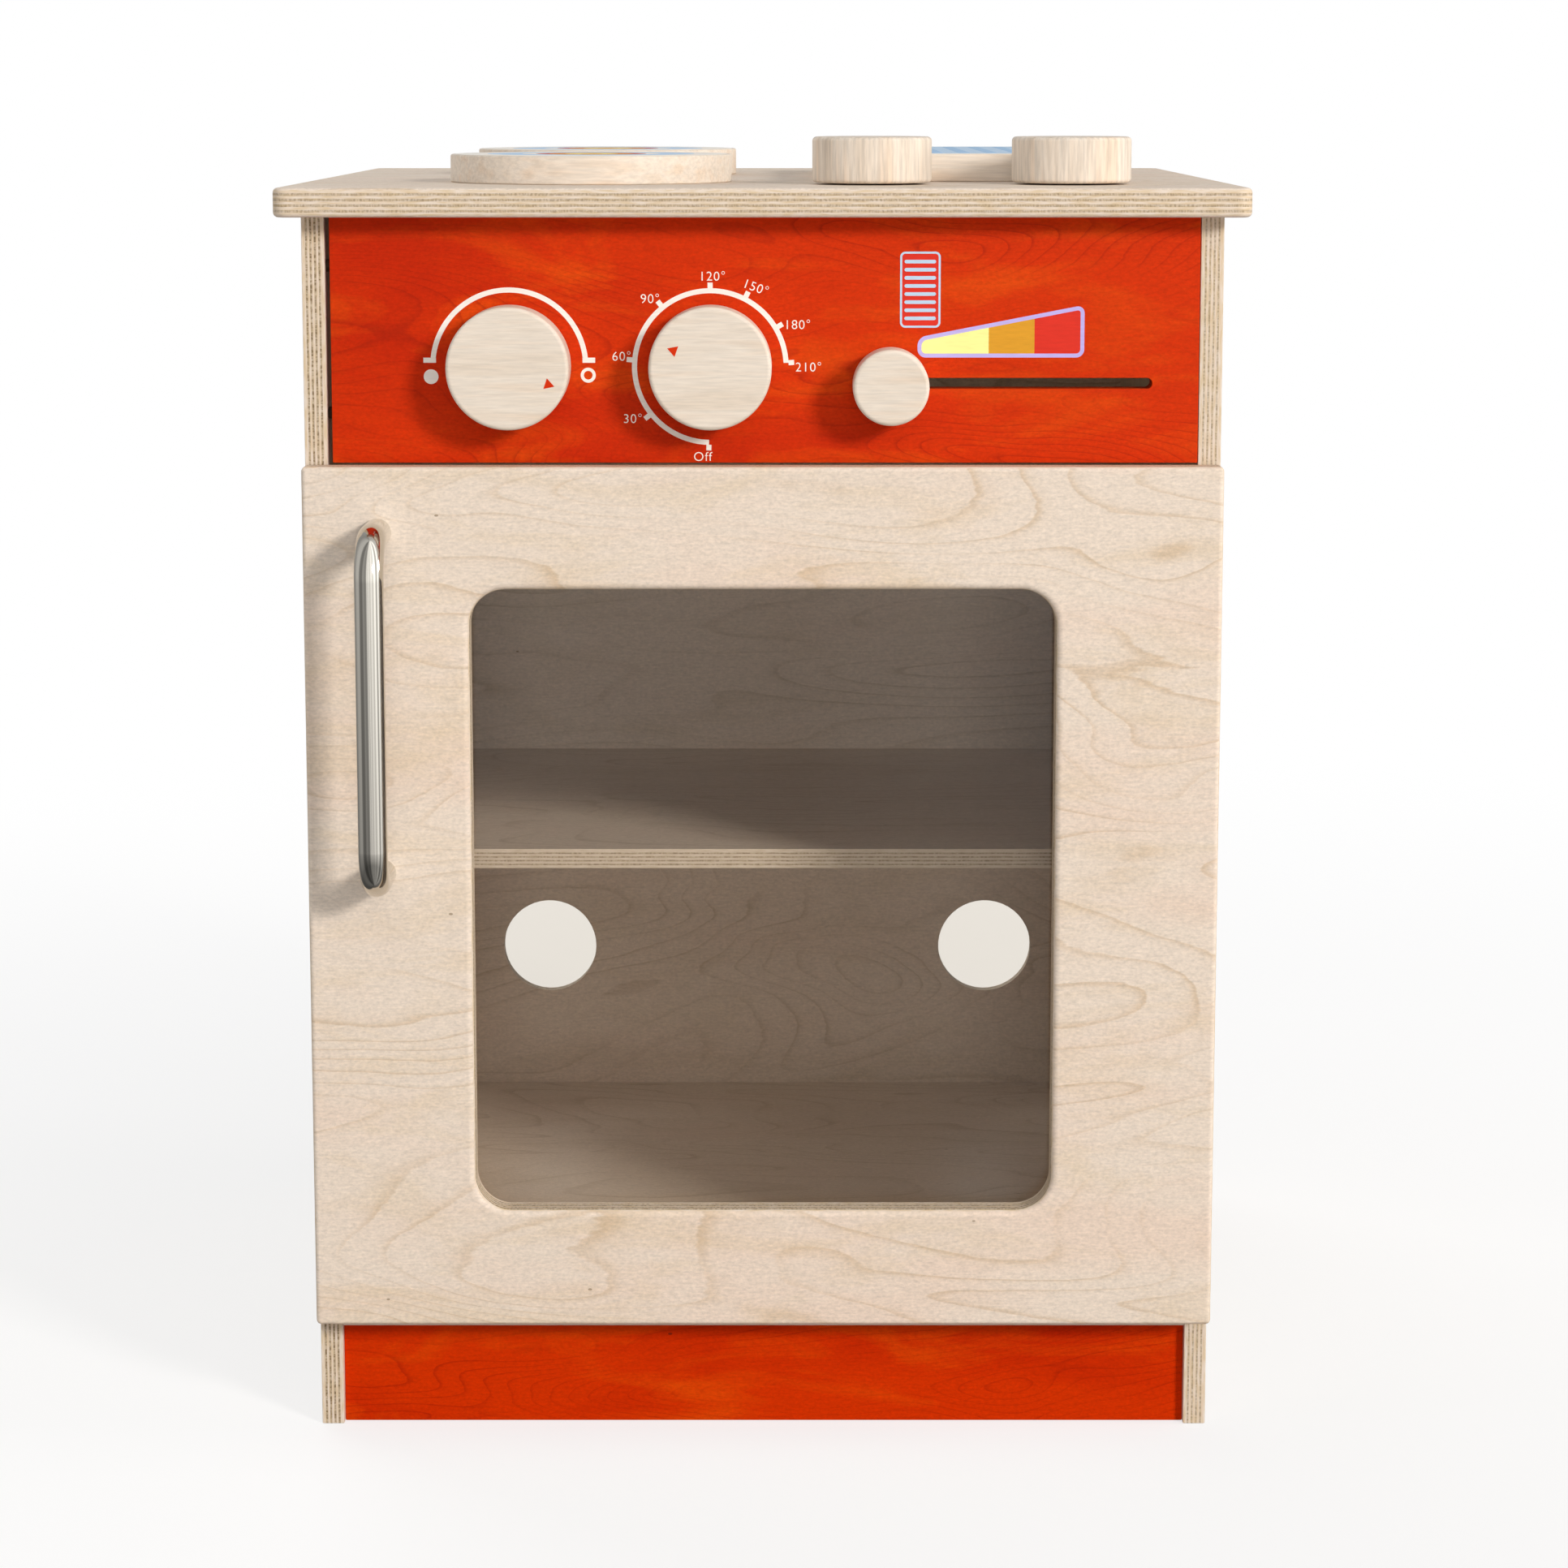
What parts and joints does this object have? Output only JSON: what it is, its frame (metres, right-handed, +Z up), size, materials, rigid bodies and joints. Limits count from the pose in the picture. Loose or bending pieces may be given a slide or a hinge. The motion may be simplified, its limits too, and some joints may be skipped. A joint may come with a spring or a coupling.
{
  "type": "toy oven",
  "caption": "Wooden toy oven with a windowed side-hinged door, bar handle, dials, a heat slider, hob discs and a griddle plate on the worktop.",
  "frame": {"origin": "on the floor, in the middle of the whole oven's bounding box", "axes": "+Z up, the door and dials face -Y, +X to the right of someone who stands in front of it"},
  "size_m": [0.4, 0.438, 0.549],
  "materials": {
    "birch_plywood": "clear matt lacquered birch plywood",
    "red_stained_plywood": "red stained plywood, satin lacquer",
    "birch": "turned birch, clear matt lacquer",
    "printed_hob_disc": "birch with a printed ring pattern on top",
    "printed_griddle": "birch plywood with a printed top",
    "zinc_plated_steel": "bright zinc plating",
    "hinge_steel": "satin nickel plating",
    "polished_steel": "polished stainless steel",
    "clear_acrylic": "clear acrylic sheet",
    "catch_plastic": "brown moulded plastic",
    "felt": "pressed wool felt"
  },
  "bodies": {
    "carcass": {"worktop": "birch_plywood", "side_panel_left": "birch_plywood", "side_panel_right": "birch_plywood", "bottom_panel": "birch_plywood", "back_panel": "birch_plywood", "oven_shelf": "birch_plywood", "control_panel": "red_stained_plywood", "kickboard": "red_stained_plywood", "panel_dowels": "birch", "worktop_screws": "zinc_plated_steel", "worktop_plugs": "birch", "back_screws": "zinc_plated_steel", "hob_disc_front": "printed_hob_disc", "hob_disc_rear": "printed_hob_disc", "griddle_plate": "printed_griddle", "hob_screws": "zinc_plated_steel", "glide_washers": "felt", "bolt_washers": "zinc_plated_steel", "upper_hinge_frame_leaf": "hinge_steel", "lower_hinge_frame_leaf": "hinge_steel", "upper_hinge_pin": "hinge_steel", "lower_hinge_pin": "hinge_steel", "hinge_frame_screws": "zinc_plated_steel", "catch_housing": "catch_plastic", "catch_magnet": "hinge_steel", "catch_screws": "zinc_plated_steel"},
    "door": {"door_panel": "birch_plywood", "window_pane": "clear_acrylic", "pane_screws": "zinc_plated_steel", "door_handle": "polished_steel", "handle_screws": "zinc_plated_steel", "upper_hinge_door_leaf": "hinge_steel", "lower_hinge_door_leaf": "hinge_steel", "hinge_door_screws": "zinc_plated_steel", "strike_plate": "hinge_steel", "strike_screws": "zinc_plated_steel"},
    "power_knob": {"power_knob": "birch", "power_bolt": "zinc_plated_steel"},
    "temperature_knob": {"temperature_knob": "birch", "temperature_bolt": "zinc_plated_steel"},
    "hob_knob_left": {"hob_knob_left": "birch", "hob_bolt_left": "zinc_plated_steel"},
    "hob_knob_right": {"hob_knob_right": "birch", "hob_bolt_right": "zinc_plated_steel"},
    "heat_slider": {"slider_knob": "birch", "slider_stem": "zinc_plated_steel", "slider_glide": "felt", "slider_guide": "birch"}
  },
  "joints": [
    {"name": "door_hinge", "type": "hinge", "parent": "carcass", "child": "door", "pos_m": [0.1889, -0.1665, 0.232], "axis": [0, 0, 1], "range_deg": [0, 110]},
    {"name": "power_knob_turn", "type": "hinge", "parent": "carcass", "child": "power_knob", "pos_m": [-0.1044, -0.165, 0.4557], "axis": [0, 1, 0], "continuous": true},
    {"name": "temperature_knob_turn", "type": "hinge", "parent": "carcass", "child": "temperature_knob", "pos_m": [-0.0215, -0.165, 0.4557], "axis": [0, 1, 0], "continuous": true},
    {"name": "hob_knob_left_turn", "type": "hinge", "parent": "carcass", "child": "hob_knob_left", "pos_m": [0.046, -0.116, 0.529], "axis": [0, 0, -1], "continuous": true},
    {"name": "hob_knob_right_turn", "type": "hinge", "parent": "carcass", "child": "hob_knob_right", "pos_m": [0.1304, -0.116, 0.529], "axis": [0, 0, -1], "continuous": true},
    {"name": "heat_slider_slide", "type": "slide", "parent": "carcass", "child": "heat_slider", "axis": [1, 0, 0], "range_m": [0, 0.106]}
  ]
}
